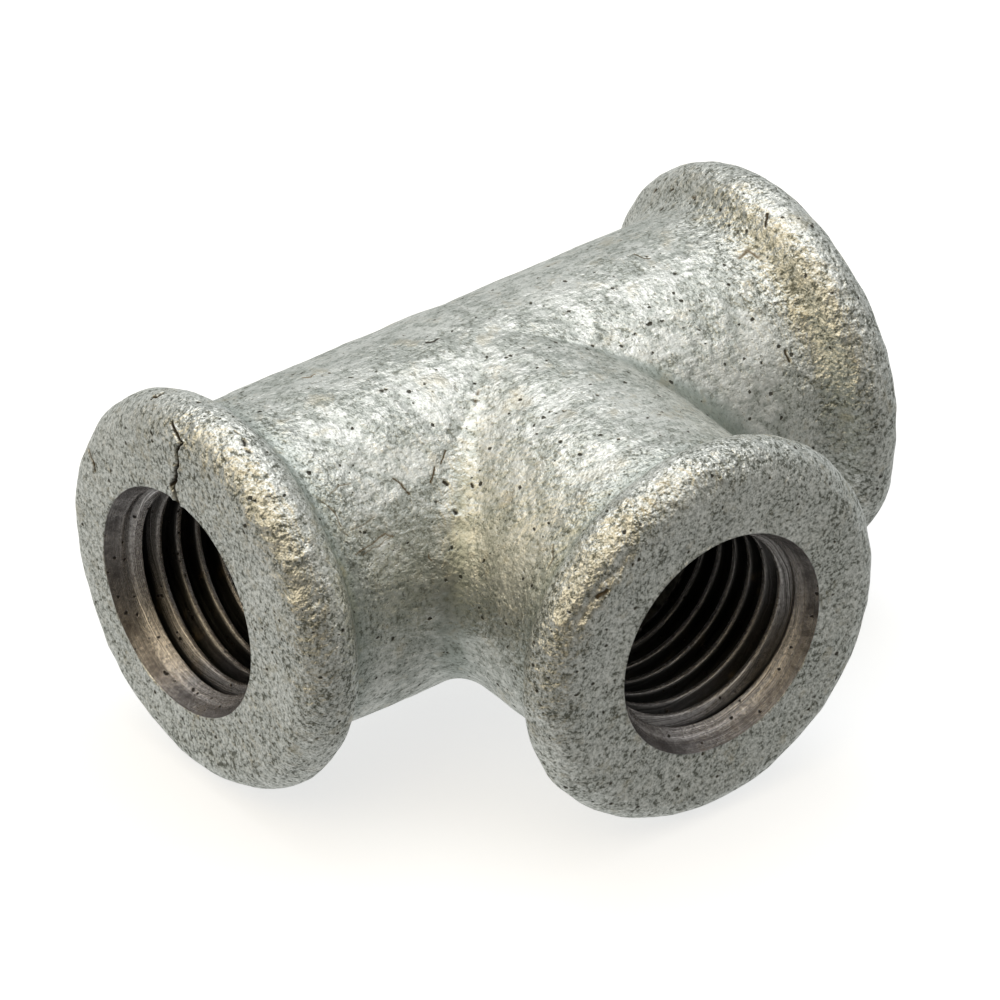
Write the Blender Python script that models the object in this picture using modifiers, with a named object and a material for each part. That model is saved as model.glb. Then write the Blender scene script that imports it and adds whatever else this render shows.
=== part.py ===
"""A malleable-iron equal tee, size 1/4, with beaded ends and Rp 1/4 female threads.

The tee lies flat on its beads. The run lies along X and the branch points to -Y. The origin
is the middle of the bounding box's underside, so the three axes meet at (0, RUN_Y, AXIS_Z).

The real tee is one casting, tapped from three sides. Here it is cut on three flat planes, at
the inner ends of the threads, into four zones that touch face to face: the T-shaped body, and
a beaded, tapped end on each leg.
"""

import math

import bmesh
import bpy
from mathutils import Euler, Matrix, Vector

MM = 0.001

# The casting.
CENTRE_TO_FACE = 21.0 * MM
NECK_RADIUS = 9.7 * MM
BEAD_RADIUS = 11.7 * MM
BEAD_FRONT_ROUND = 2.1 * MM
BEAD_BACK_ROUND = 1.8 * MM
BEAD_FILLET = 1.0 * MM
CROTCH_FILLET = 3.1 * MM
CORE_RADIUS = 7.0 * MM
CORE_CROTCH_FILLET = 1.0 * MM
LOFT_REACH = 13.5 * MM  # how far along each leg the lofted T goes, past its crotch fillets

# The thread, Rp 1/4: 19 threads to the inch, Whitworth form.
PITCH = 25.4 * MM / 19
THREAD_MAJOR_RADIUS = 13.157 * MM / 2
THREAD_MINOR_RADIUS = 11.445 * MM / 2
FLANK_ANGLE = math.radians(27.5)
THREAD_DEPTH = 10.0 * MM
FIRST_CREST_DEPTH = 2.4 * MM
MOUTH_RADIUS = 6.83 * MM
MOUTH_DEPTH = 2.1 * MM

# How far each tapped hole is off its leg's axis, in Y and Z on the run and in X and Z on the branch.
LEFT_TAP_SHIFT = (0.93 * MM, -0.53 * MM)
BRANCH_TAP_SHIFT = (0.08 * MM, -0.05 * MM)

# Facets and overlaps.
ROUND_STEPS = 48
THREAD_STEPS = 24
FRONT_ARC_STEPS = 4
BACK_ARC_STEPS = 3
FILLET_ARC_STEPS = 3
CROTCH_ARC_STEPS = 6
CUT_OVERLAP = 0.8 * MM
MERGE_DISTANCE = 0.001 * MM
SHARP_ANGLE = math.radians(30)

RUN_Y = (CENTRE_TO_FACE - BEAD_RADIUS) / 2
AXIS_Z = BEAD_RADIUS
ZONE_PLANE = CENTRE_TO_FACE - THREAD_DEPTH

QUARTER_TURN = math.pi / 2
LEGS = {
    "run_end_left": (0, -QUARTER_TURN, 0),
    "run_end_right": (0, QUARTER_TURN, 0),
    "branch_end": (QUARTER_TURN, 0, 0),
}
TAP_SHIFTS = {
    "run_end_left": (0, *LEFT_TAP_SHIFT),
    "run_end_right": (0, 0, 0),
    "branch_end": (BRANCH_TAP_SHIFT[0], 0, BRANCH_TAP_SHIFT[1]),
}


def clear_scene():
    for obj in list(bpy.data.objects):
        bpy.data.objects.remove(obj, do_unlink=True)


def new_collection(name):
    collection = bpy.data.collections.new(name)
    bpy.context.scene.collection.children.link(collection)
    return collection


def place(name, mesh, collection, axes, rotation=(0, 0, 0), location=(0, 0, 0)):
    """An object in the frame of the empty where the tee's axes meet."""
    obj = bpy.data.objects.new(name, mesh)
    obj.parent = axes
    obj.rotation_euler = rotation
    obj.location = location
    collection.objects.link(obj)
    return obj


def as_cutter(obj):
    obj.hide_render = True
    obj.display_type = "WIRE"
    return obj


def mesh_of(name, bm):
    mesh = bpy.data.meshes.new(name)
    bm.to_mesh(mesh)
    bm.free()
    return mesh


def profile_mesh(name, points):
    """An open line of (radius, height) points in the XZ plane, for a Screw modifier."""
    mesh = bpy.data.meshes.new(name)
    vertices = [(radius, 0, height) for radius, height in points]
    edges = [(i, i + 1) for i in range(len(points) - 1)]
    mesh.from_pydata(vertices, edges, [])
    return mesh


def arc(centre, radius, start, end, steps):
    """Points (radius, height) along an arc, with its angles measured from the outward direction."""
    points = []
    for i in range(steps + 1):
        angle = start + (end - start) * i / steps
        points.append((centre[0] + radius * math.cos(angle), centre[1] + radius * math.sin(angle)))
    return points


def end_profile():
    """The outside of a beaded end, from the middle of its face down to where the loft takes over."""
    bead_middle = CENTRE_TO_FACE - BEAD_FRONT_ROUND
    front_centre = (BEAD_RADIUS - BEAD_FRONT_ROUND, bead_middle)
    back_centre = (BEAD_RADIUS - BEAD_BACK_ROUND, bead_middle)
    across = NECK_RADIUS + BEAD_FILLET - back_centre[0]
    down = math.sqrt((BEAD_BACK_ROUND + BEAD_FILLET) ** 2 - across**2)
    fillet_centre = (back_centre[0] + across, back_centre[1] - down)
    meeting = math.atan2(-down, across)
    front = arc(front_centre, BEAD_FRONT_ROUND, QUARTER_TURN, 0, FRONT_ARC_STEPS)
    back = arc(back_centre, BEAD_BACK_ROUND, 0, meeting, BACK_ARC_STEPS)
    fillet = arc(fillet_centre, BEAD_FILLET, meeting + math.pi, math.pi, FILLET_ARC_STEPS)
    return [(0, CENTRE_TO_FACE)] + front + back[1:] + fillet[1:] + [(NECK_RADIUS, LOFT_REACH)]


def screwed(name, points, steps, offset=0.0, turns=1):
    """A (radius, height) profile swept round Z by a Screw modifier, as a mesh of its own."""
    line = bpy.data.objects.new(name, profile_mesh(name, points))
    bpy.context.scene.collection.objects.link(line)
    screw = line.modifiers.new("sweep", "SCREW")
    screw.steps = screw.render_steps = steps
    screw.screw_offset = offset
    screw.iterations = turns
    screw.use_smooth_shade = offset == 0
    bpy.context.view_layer.update()
    graph = bpy.context.evaluated_depsgraph_get()
    mesh = bpy.data.meshes.new_from_object(line.evaluated_get(graph))
    bpy.data.objects.remove(line, do_unlink=True)
    return mesh


def tee_outline(radius, reach, fillet, tilt):
    """The T-shaped outline that a level plane cuts from a tee of round legs.

    tilt is the angle of the plane's height on the round section, so the outline is widest at 0
    and a bare T of lines at a quarter turn. The fillet in the crotch fades out towards the top.
    """
    half = radius * math.cos(tilt)
    height = radius * math.sin(tilt)
    round_in = fillet * math.cos(tilt) ** 2
    centre = half + round_in
    crotch = []
    for i in range(CROTCH_ARC_STEPS + 1):
        angle = QUARTER_TURN * i / CROTCH_ARC_STEPS
        across = centre - round_in * math.sin(angle)
        along = centre - round_in * math.cos(angle)
        crotch.append((across, -along))
    far_side = [(reach, half), (0, half), (-reach, half)]
    left = [(-reach, -half)] + [(-x, y) for x, y in crotch] + [(-half, -reach)]
    right = [(half, -reach)] + crotch[::-1] + [(reach, -half)]
    return [[Vector((x, y, height)) for x, y in side] for side in (far_side, left, right)]


def tee_skin(bm, radius, reach, fillet):
    """Adds the skin of a tee of three round legs, open at its ends, as a loft of level outlines."""
    layers = []
    for i in range(ROUND_STEPS // 2 + 1):
        tilt = -QUARTER_TURN + 2 * math.pi * i / ROUND_STEPS
        sides = tee_outline(radius, reach, fillet, tilt)
        layers.append([[bm.verts.new(point) for point in side] for side in sides])
    for low_sides, high_sides in zip(layers, layers[1:]):
        for low, high in zip(low_sides, high_sides):
            for i in range(1, len(low)):
                bm.faces.new((low[i - 1], low[i], high[i], high[i - 1]))


def welded(bm):
    """Closes the seams between the pieces of a skin and turns its faces outwards."""
    bmesh.ops.remove_doubles(bm, verts=bm.verts, dist=MERGE_DISTANCE)
    bmesh.ops.dissolve_degenerate(bm, edges=bm.edges, dist=MERGE_DISTANCE)
    bmesh.ops.recalc_face_normals(bm, faces=bm.faces)


def leg_matrix(leg):
    return Euler(LEGS[leg]).to_matrix().to_4x4()


def add_beaded_end(bm, leg):
    """Adds the turned skin of one leg's end, which closes the lofted T on that leg."""
    turned = screwed("beaded_end", end_profile(), ROUND_STEPS)
    turned.transform(leg_matrix(leg))
    bm.from_mesh(turned)
    bpy.data.meshes.remove(turned)


def cut_flat(bm, point, outwards):
    """Cuts a skin with a plane, drops what lies outwards of it and fills the opening."""
    cut = bmesh.ops.bisect_plane(
        bm,
        geom=bm.verts[:] + bm.edges[:] + bm.faces[:],
        dist=MERGE_DISTANCE,
        plane_co=point,
        plane_no=outwards,
        clear_outer=True,
    )
    rim = [item for item in cut["geom_cut"] if isinstance(item, bmesh.types.BMEdge)]
    bmesh.ops.contextual_create(bm, geom=rim)


def outside_mesh(name, planes, ends=()):
    """The outside of one zone: the lofted T and the ends given, inside the planes given.

    Each plane is (leg, side), where side is 1 to drop the leg's end and -1 to drop the rest.
    """
    bm = bmesh.new()
    tee_skin(bm, NECK_RADIUS, LOFT_REACH, CROTCH_FILLET)
    for leg in ends:
        add_beaded_end(bm, leg)
    welded(bm)
    for leg, side in planes:
        along = leg_matrix(leg) @ Vector((0, 0, 1))
        cut_flat(bm, along * ZONE_PLANE, along * side)
    bmesh.ops.recalc_face_normals(bm, faces=bm.faces)
    mesh = mesh_of(name, bm)
    mesh.shade_smooth()
    mesh.set_sharp_from_angle(angle=SHARP_ANGLE)
    return mesh


def core_mesh():
    """The hollow that the foundry's core leaves, which runs a little into the tapped ends."""
    bm = bmesh.new()
    tee_skin(bm, CORE_RADIUS, ZONE_PLANE + CUT_OVERLAP, CORE_CROTCH_FILLET)
    bmesh.ops.remove_doubles(bm, verts=bm.verts, dist=MERGE_DISTANCE)
    bmesh.ops.holes_fill(bm, edges=bm.edges)
    welded(bm)
    return mesh_of("core", bm)


def thread_profile(start):
    """One pitch of the thread's outline as (radius, height) points, from the top down."""
    flank = (THREAD_MAJOR_RADIUS - THREAD_MINOR_RADIUS) * math.tan(FLANK_ANGLE)
    flat = PITCH / 2 - flank
    heights = (PITCH, PITCH - flank, PITCH - flank - flat, flat, 0)
    radii = (
        THREAD_MINOR_RADIUS,
        THREAD_MAJOR_RADIUS,
        THREAD_MAJOR_RADIUS,
        THREAD_MINOR_RADIUS,
        THREAD_MINOR_RADIUS,
    )
    return [(radius, start - flat / 2 + height) for radius, height in zip(radii, heights)]


def thread_rod(name, collection, axes, leg):
    """A right-hand threaded rod along one leg, which cuts that leg's tapped hole."""
    bottom = ZONE_PLANE - CUT_OVERLAP
    top = CENTRE_TO_FACE + CUT_OVERLAP
    first_crest = CENTRE_TO_FACE - FIRST_CREST_DEPTH
    start = first_crest - math.ceil((first_crest - bottom) / PITCH + 1) * PITCH
    turns = math.ceil((top - start) / PITCH) + 1
    helix = screwed("helix", thread_profile(start), THREAD_STEPS, PITCH, turns)
    bm = bmesh.new()
    bm.from_mesh(helix)
    bpy.data.meshes.remove(helix)
    bmesh.ops.remove_doubles(bm, verts=bm.verts, dist=MERGE_DISTANCE)
    cut_flat(bm, (0, 0, top), (0, 0, 1))
    cut_flat(bm, (0, 0, bottom), (0, 0, -1))
    bmesh.ops.recalc_face_normals(bm, faces=bm.faces)
    obj = place(name, mesh_of(name, bm), collection, axes, LEGS[leg], TAP_SHIFTS[leg])
    return as_cutter(obj)


def mouth_cone(name, collection, axes, leg):
    """The countersink at a leg's mouth, reaching a little past the face."""
    slope = (MOUTH_RADIUS - THREAD_MINOR_RADIUS) / MOUTH_DEPTH
    bm = bmesh.new()
    bmesh.ops.create_cone(
        bm,
        cap_ends=True,
        segments=ROUND_STEPS,
        radius1=THREAD_MINOR_RADIUS - slope * CUT_OVERLAP,
        radius2=MOUTH_RADIUS + slope * CUT_OVERLAP,
        depth=MOUTH_DEPTH + 2 * CUT_OVERLAP,
        matrix=Matrix.Translation((0, 0, CENTRE_TO_FACE - MOUTH_DEPTH / 2)),
    )
    obj = place(name, mesh_of(name, bm), collection, axes, LEGS[leg], TAP_SHIFTS[leg])
    return as_cutter(obj)


def cut(obj, cutter):
    boolean = obj.modifiers.new(cutter.name, "BOOLEAN")
    boolean.operation = "DIFFERENCE"
    boolean.solver = "EXACT"
    boolean.object = cutter


def galvanised_iron(name, colour):
    material = bpy.data.materials.new(name)
    material.use_nodes = True
    shader = material.node_tree.nodes["Principled BSDF"]
    shader.inputs["Base Color"].default_value = (*colour, 1)
    shader.inputs["Metallic"].default_value = 0.7
    shader.inputs["Roughness"].default_value = 0.55
    return material


def main():
    clear_scene()
    parts = new_collection("tee_fitting")
    cutters = new_collection("cutters")

    axes = bpy.data.objects.new("meeting_of_the_axes", None)
    axes.location = (0, RUN_Y, AXIS_Z)
    parts.objects.link(axes)

    all_ends_off = [(leg, 1) for leg in LEGS]
    body = place("body", outside_mesh("body", all_ends_off), parts, axes)
    body.data.materials.append(galvanised_iron("galvanised_body", (0.60, 0.63, 0.60)))
    cut(body, as_cutter(place("core", core_mesh(), cutters, axes)))

    for leg in LEGS:
        end = place(leg, outside_mesh(leg, [(leg, -1)], [leg]), parts, axes)
        end.data.materials.append(galvanised_iron("galvanised_" + leg, (0.56, 0.59, 0.57)))
        cut(end, thread_rod(leg + "_tap", cutters, axes, leg))
        cut(end, mouth_cone(leg + "_countersink", cutters, axes, leg))


main()
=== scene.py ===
"""The looks of a galvanised malleable-iron tee fitting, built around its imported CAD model."""

import math
from collections import namedtuple

import bmesh
import bpy
import numpy as np
from mathutils import Euler, Matrix, Vector


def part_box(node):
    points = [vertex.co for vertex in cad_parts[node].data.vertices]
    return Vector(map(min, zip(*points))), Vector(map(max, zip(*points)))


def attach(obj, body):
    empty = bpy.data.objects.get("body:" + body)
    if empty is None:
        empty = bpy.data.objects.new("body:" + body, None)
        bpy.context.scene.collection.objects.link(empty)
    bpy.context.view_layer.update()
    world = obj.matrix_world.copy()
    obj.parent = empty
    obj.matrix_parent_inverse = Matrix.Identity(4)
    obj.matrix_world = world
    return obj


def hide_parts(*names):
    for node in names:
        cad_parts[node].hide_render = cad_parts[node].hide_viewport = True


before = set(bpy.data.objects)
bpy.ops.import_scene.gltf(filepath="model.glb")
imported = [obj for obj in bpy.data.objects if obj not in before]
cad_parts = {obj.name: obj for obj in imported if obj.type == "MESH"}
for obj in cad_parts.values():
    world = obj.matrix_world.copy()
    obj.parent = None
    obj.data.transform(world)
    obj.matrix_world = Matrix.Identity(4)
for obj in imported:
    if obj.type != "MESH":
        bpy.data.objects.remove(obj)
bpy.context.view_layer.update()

MM = 0.001

# The CAD's own sizes.
LEFT, RIGHT, BRANCH = "run_end_left", "run_end_right", "branch_end"
LEFT_LOW, LEFT_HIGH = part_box(LEFT)
RIGHT_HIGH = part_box(RIGHT)[1]
BODY_LOW, BODY_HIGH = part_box("body")
CENTRE_TO_FACE = (RIGHT_HIGH.x - LEFT_LOW.x) / 2
BEAD_RADIUS = (LEFT_HIGH.z - LEFT_LOW.z) / 2
NECK_RADIUS = (BODY_HIGH.z - BODY_LOW.z) / 2
ZONE_PLANE = BODY_HIGH.x
CENTRE = Vector((0, (LEFT_LOW.y + LEFT_HIGH.y) / 2, (LEFT_LOW.z + LEFT_HIGH.z) / 2))

# Sizes that the CAD's boxes don't show. The right bead runs into its neck in a wider curve than
# the others do.
BEAD_FRONT_ROUND = 2.1 * MM
BEAD_BACK_ROUND = 1.8 * MM
BEAD_FILLETS = {LEFT: 1.0 * MM, RIGHT: 2.2 * MM, BRANCH: 1.0 * MM}
CROTCH_FILLET = 3.1 * MM
CORE_RADIUS = 7.0 * MM
CORE_CROTCH_FILLET = 1.0 * MM
LOFT_REACH = 13.5 * MM

# The thread is ISO 7, 19 to the inch, and a tapping drill leaves its crests cut short. Its first
# groove fades in behind the countersink.
PITCH = 25.4 * MM / 19
THREAD_MAJOR_RADIUS = 13.157 * MM / 2
CREST_RADIUS = 5.83 * MM
CREST_HALF_SHARE = 0.06
ROOT_HALF_SHARE = 0.06
FIRST_CREST_DEPTHS = {LEFT: 2.13 * MM, RIGHT: 2.4 * MM, BRANCH: 2.4 * MM}
RUN_IN_START, RUN_IN_END = 0.9 * MM, 2.1 * MM
RUN_IN_SHARE = 0.25
MOUTH_RADIUS = 6.83 * MM
MOUTH_DEPTH = 2.1 * MM
# The crest mask, within CREST_EDGE of the crest radius and fading in past CREST_FADE_FROM, spares the crests
# the bore's painted shade.
CREST_EDGE = 0.12 * MM
CREST_FADE_FROM = 0.9 * MOUTH_DEPTH
CREST_FADE = 0.3 * MM

# How much painted shade, in a green-grey, lies in the valleys: at each bead's neck, and in the left
# crotch. It runs out along the neck, and a part of the way up the bead's back.
BEAD_FILLET_SHADE = {LEFT: 1.0, RIGHT: 0.15, BRANCH: 1.0}
LEFT_CROTCH_SHADE = 0.6
NECK_SHADE = 0.6
BEAD_BACK_SHADE_LOSS = 0.4
VALLEY_REACH = 1.7 * MM

# The bead's own look fades in over this length, from where the loft ends.
BEAD_BLEND = 2.5 * MM

# How each leg is turned from +Z, and how far its tap is off the middle of its bead.
QUARTER_TURN = math.pi / 2
LEG_TURNS = {
    LEFT: Euler((0, -QUARTER_TURN, 0)),
    RIGHT: Euler((0, QUARTER_TURN, 0)),
    BRANCH: Euler((QUARTER_TURN, 0, 0)),
}
TAP_SHIFTS = {
    LEFT: Vector((0, 0.93 * MM, -0.53 * MM)),
    RIGHT: Vector((0, 0, 0)),
    BRANCH: Vector((0.08 * MM, 0, -0.05 * MM)),
}

# How finely the surface is cut. The thread's rows are in pitches from a crest, the flat face's in
# shares of the way in to the countersink, and the inner shoulder's in shares of the way out.
ROUND_STEPS = 240
STRAIGHT_STEPS = 46
CROTCH_STEPS = 14
CORE_STRAIGHT_STEPS = 16
CORE_CROTCH_STEPS = 5
ROW_STEP = 0.26 * MM
HALF_PITCH_ROWS = (0, 0.06, 0.10, 0.14, 0.19, 0.25, 0.31, 0.37, 0.44, 0.5)
FACE_EVEN_SHARE = 0.93
FACE_RIM_ROWS = (0.98, 1.0)
SHOULDER_ROWS = (0.0, 0.35, 0.7, 1.0)

# Points that fall in one cell of this grid, in metres, are welded; the offset, in cells, keeps
# points that should meet from falling on either side of a cell's edge.
MERGE_GRID = 1e-6
MERGE_OFFSET = 0.123

# Which material a face has; a capped face takes the cored one, and is shaded flat.
SKIN, MACHINED, CORED, CAPPED = 0, 1, 2, 3

# The four pieces, by the CAD node that each stands for.
PIECES = {
    "body": "cast_body",
    LEFT: "cast_run_end_left",
    RIGHT: "cast_run_end_right",
    BRANCH: "cast_branch_end",
}
SEAM_SNAP = 0.02 * MM

# Flaws of this casting. A flaw is a line of points in millimetres from where the axes meet, with its
# width and depth in millimetres, and how dark and how rusty it is, from 0 to 1. The points were picked
# in the photo, and carried onto the surface through a camera fitted to it.
Flaw = namedtuple("Flaw", "path width depth dark rust")
CRACK = [
    Flaw([(-20.5, 1.8, 10.7), (-20.8, 1.0, 10.5), (-20.9, 0.5, 10.3)], 0.09, 0.20, 0.9, 0.3),
    Flaw([(-20.9, 0.5, 10.3), (-21, 0.75, 9.8), (-21, 0.6, 9.2), (-21, 0.75, 8.4)], 0.10, 0.28, 1.0, 0.2),
    Flaw([(-21, 0.75, 8.4), (-21, 1.1, 7.3), (-21, 1.0, 6.9), (-21, 0.7, 6.3)], 0.14, 0.32, 1.0, 0.1),
    Flaw([(-21, 1.1, 7.4), (-21, 1.35, 7.1)], 0.10, 0.15, 0.8, 0.2),
]
LEFT_FLAWS = [
    Flaw([(-19.7, 4.7, 10.6), (-19.6, 4.4, 10.7), (-19.3, 4.4, 10.8)], 0.10, 0.14, 0.9, 0.4),
    Flaw([(-20.8, 9.3, 5.0), (-21.0, 8.7, 4.7), (-21.0, 8.5, 4.2)], 0.10, 0.10, 0.7, 0.6),
    Flaw([(-19.0, -1.9, 11.5), (-18.9, -2.1, 11.4)], 0.10, 0.08, 0.5, 0.0),
    Flaw([(-19.0, -2.6, 11.3), (-19.1, -2.9, 11.2)], 0.11, 0.09, 0.6, 0.0),
    Flaw([(-18.7, -2.7, 11.5), (-18.6, -2.9, 11.5)], 0.07, 0.05, 0.5, 0.0),
    Flaw([(-19.2, -3.5, 11.1), (-19.3, -3.3, 11.1)], 0.09, 0.07, 0.5, 0.0),
]
BODY_HAIRS = [
    Flaw([(-10.9, 2.7, 9.3), (-10.6, 2.4, 9.4), (-10.2, 2.5, 9.4)], 0.07, 0.03, 0.4, 1.0),
    Flaw([(-7.5, -5.9, 7.8), (-7.7, -6.0, 7.7), (-8.1, -6.3, 7.4)], 0.055, 0.03, 0.6, 0.8),
    Flaw([(-8.6, -6.3, 7.4), (-8.8, -6.6, 7.2), (-9.3, -6.8, 6.9)], 0.055, 0.03, 0.6, 0.8),
    Flaw([(-11.3, -6.1, 7.6), (-11.1, -6.4, 7.3), (-10.8, -6.9, 6.8)], 0.055, 0.03, 0.6, 0.8),
    Flaw([(-15.3, -5.6, 7.9), (-14.6, -5.4, 8.1), (-13.8, -5.5, 8.0)], 0.045, 0.02, 0.2, 0.7),
    Flaw([(-16.0, -5.8, 7.8), (-15.6, -6.3, 7.4), (-15.6, -7.0, 6.7)], 0.045, 0.03, 0.3, 0.8),
    Flaw([(-17.0, -6.4, 8.0), (-17.0, -6.9, 7.8), (-16.6, -6.9, 7.0)], 0.045, 0.03, 0.3, 0.8),
    Flaw(
        [(-15.5, -8.1, 5.4), (-14.4, -8.0, 5.5), (-13.2, -7.9, 5.7), (-12.8, -8.1, 5.4)],
        0.05, 0.02, 0.2, 1.0,
    ),
    Flaw([(-15.0, -8.2, 5.2), (-14.2, -8.2, 5.3), (-13.0, -8.1, 5.5)], 0.04, 0.02, 0.2, 0.8),
    Flaw([(-15.2, -7.3, 6.4), (-14.4, -7.3, 6.4), (-13.5, -7.2, 6.5)], 0.04, 0.02, 0.1, 0.7),
]
BODY_BLOBS = [
    Flaw([(-8.5, -7.05, 6.8), (-8.42, -7.25, 6.7)], 0.09, 0.07, 0.9, 0.2),
    Flaw([(-7.4, -8.0, 6.7), (-7.45, -8.2, 6.6)], 0.07, 0.06, 0.8, 0.3),
    Flaw([(-8.9, -8.45, 5.7), (-8.85, -8.55, 5.6)], 0.09, 0.08, 0.8, 0.0),
    Flaw([(-3.6, 1.1, 9.7), (-3.2, 0.9, 9.7), (-2.8, 1.0, 9.7)], 0.08, 0.05, 0.7, 0.1),
    Flaw([(-3.7, -3.8, 9.1), (-3.8, -3.9, 9.0)], 0.09, 0.04, 0.3, 0.7),
    Flaw([(-4.2, -4.2, 8.9), (-4.3, -4.3, 8.9)], 0.09, 0.04, 0.4, 0.7),
]
RIGHT_FLAWS = [
    Flaw([(15.7, -2.5, 9.4), (16.4, -2.4, 9.5), (16.6, -3.1, 9.4)], 0.11, 0.02, 0.0, 1.0),
    Flaw([(18.0, -2.1, 11.2), (17.7, -2.4, 11.0), (17.6, -2.5, 10.8)], 0.08, 0.08, 0.8, 0.4),
    Flaw([(15.1, -7.5, 6.1), (15.0, -7.7, 6.0), (15.1, -8.0, 5.6)], 0.08, 0.08, 0.8, 0.4),
    Flaw([(11.0, 1.1, 9.7), (11.1, 0.5, 9.7), (11.4, 0.1, 9.7)], 0.07, 0.03, 0.5, 0.6),
    Flaw([(17.4, 7.4, 8.0), (17.5, 7.3, 8.2)], 0.09, 0.06, 0.7, 0.3),
    Flaw([(17.3, 5.8, 9.0), (17.3, 5.7, 9.1)], 0.09, 0.06, 0.7, 0.3),
    Flaw([(17.1, 3.4, 9.8), (17.2, 3.2, 9.9)], 0.10, 0.06, 0.5, 0.6),
]
BRANCH_FLAWS = [
    # The first is a shallow groove along the bead's front edge; its faint dark and brown are partly painted
    # shade of that edge, partly brownish streaks.
    Flaw(
        [(-6.3, -20.8, 8.5), (-7.1, -20.8, 7.8), (-8.3, -20.6, 6.9), (-9.1, -20.6, 5.9), (-9.6, -20.5, 5.2)],
        0.26, 0.13, 0.12, 0.2,
    ),
    Flaw([(-7.2, -15.2, 6.4), (-7.6, -15.7, 6.0), (-7.9, -15.7, 5.4)], 0.06, 0.05, 0.4, 0.5),
    Flaw([(-7.9, -20.8, 6.8), (-8.4, -20.7, 6.5)], 0.12, 0.08, 0.8, 0.5),
    Flaw([(-6.9, -10.2, 6.5), (-6.8, -11.1, 6.9)], 0.04, 0.02, 0.1, 0.5),
]
FLAWS = [*CRACK, *LEFT_FLAWS, *BODY_HAIRS, *BODY_BLOBS, *RIGHT_FLAWS, *BRANCH_FLAWS]

# The mesh is cut finer within reach of a flaw, whose edge wanders, and has a low lip some widths out.
FLAW_REACH = 0.5 * MM
FLAW_PASSES = 2
FLAW_CUTS = 2
FLAW_WANDER = 0.07 * MM
FLAW_WANDER_LENGTH = 0.3 * MM
FLAW_WANDER_SEEDS = (11, 12, 13)
FLAW_LIP = 0.2
FLAW_LIP_AT = 2.2


# ---------------------------------------------------------------- the casting's surface


# What each point carries for the materials: how much it is in a valley (where the skin takes painted
# shade), on a bead, on a crest, in a groove, in a flaw or rusty, from 0 to 1, and how deep behind its face
# it is, in metres.
MASKS = ("valley", "bead", "depth", "crest", "groove", "mark", "rust")


class Surface:
    """Grids of points, collected as quads with a material and some masks."""

    def __init__(self):
        self.points, self.faces, self.kinds = [], [], []
        self.masks = {name: [] for name in MASKS}
        self.count = 0

    def add(self, grid, kind, closed=False, **masks):
        """Adds rows x columns of points; closed joins the last column to the first."""
        rows, columns = grid.shape[:2]
        index = self.count + np.arange(rows * columns).reshape(rows, columns)
        if closed:
            index = np.concatenate([index, index[:, :1]], axis=1)
        quads = np.stack([index[:-1, :-1], index[:-1, 1:], index[1:, 1:], index[1:, :-1]], axis=-1)
        self.points.append(grid.reshape(-1, 3))
        for name, store in self.masks.items():
            store.append(np.broadcast_to(masks.get(name, 0.0), (rows, columns)).reshape(-1))
        self.faces.append(quads.reshape(-1, 4))
        self.kinds.append(np.full((rows - 1) * (index.shape[1] - 1), kind))
        self.count += rows * columns


def leg_points(leg, radius, turn, height, shift=0.0):
    """World points from cylindrical coordinates about a leg, moved by a share of its tap's shift."""
    radius, turn, height, shift = np.broadcast_arrays(radius, turn, height, shift)
    local = np.stack([radius * np.cos(turn), radius * np.sin(turn), height], axis=-1)
    matrix = np.array(LEG_TURNS[leg].to_matrix())
    moved = shift[..., None] * np.array(TAP_SHIFTS[leg])
    return local @ matrix.T + np.array(CENTRE) + moved


def add_tee(surface, radius, reach, fillet, straight, crotch, kind):
    """The lofted skin of the tee's middle, open at its three ends."""
    angle = np.linspace(0, QUARTER_TURN, crotch + 1)
    right, left, far, valley = [], [], [], []
    for tilt in np.linspace(-QUARTER_TURN, QUARTER_TURN, ROUND_STEPS // 2 + 1):
        half = radius * math.cos(tilt)
        level = radius * math.sin(tilt)
        round_in = fillet * math.cos(tilt) ** 2
        centre = half + round_in
        run = np.linspace(reach, centre, straight + 1)
        near_x = np.concatenate([run[:-1], centre - round_in * np.sin(angle), np.full(straight, half)])
        near_y = [np.full(straight, -half), round_in * np.cos(angle) - centre, -run[::-1][1:]]
        near_y = np.concatenate(near_y)
        near_z = np.full(len(near_x), level)
        right.append(np.stack([near_x, near_y, near_z], axis=-1))
        left.append(np.stack([-near_x, near_y, near_z], axis=-1))
        middle = np.linspace(centre, -centre, 2 * crotch + 1)[1:-1]
        far_x = np.concatenate([run, middle, -run[::-1]])
        far.append(np.stack([far_x, np.full(len(far_x), half), np.full(len(far_x), level)], axis=-1))
        # The valley mask carries painted shade into the crotch fillets, and calms their lumps.
        in_fillet = np.sin(2 * angle) * math.cos(tilt)
        valley.append(np.concatenate([np.zeros(straight), in_fillet, np.zeros(straight)]))
    middle = np.array(CENTRE)
    surface.add(np.array(right) + middle, kind, valley=np.array(valley))
    surface.add(np.array(left) + middle, kind, valley=LEFT_CROTCH_SHADE * np.array(valley) ** 3)
    surface.add(np.array(far) + middle, kind)


def steps_over(length):
    """How many rows cover a length."""
    return max(1, round(abs(length) / ROW_STEP))


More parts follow.
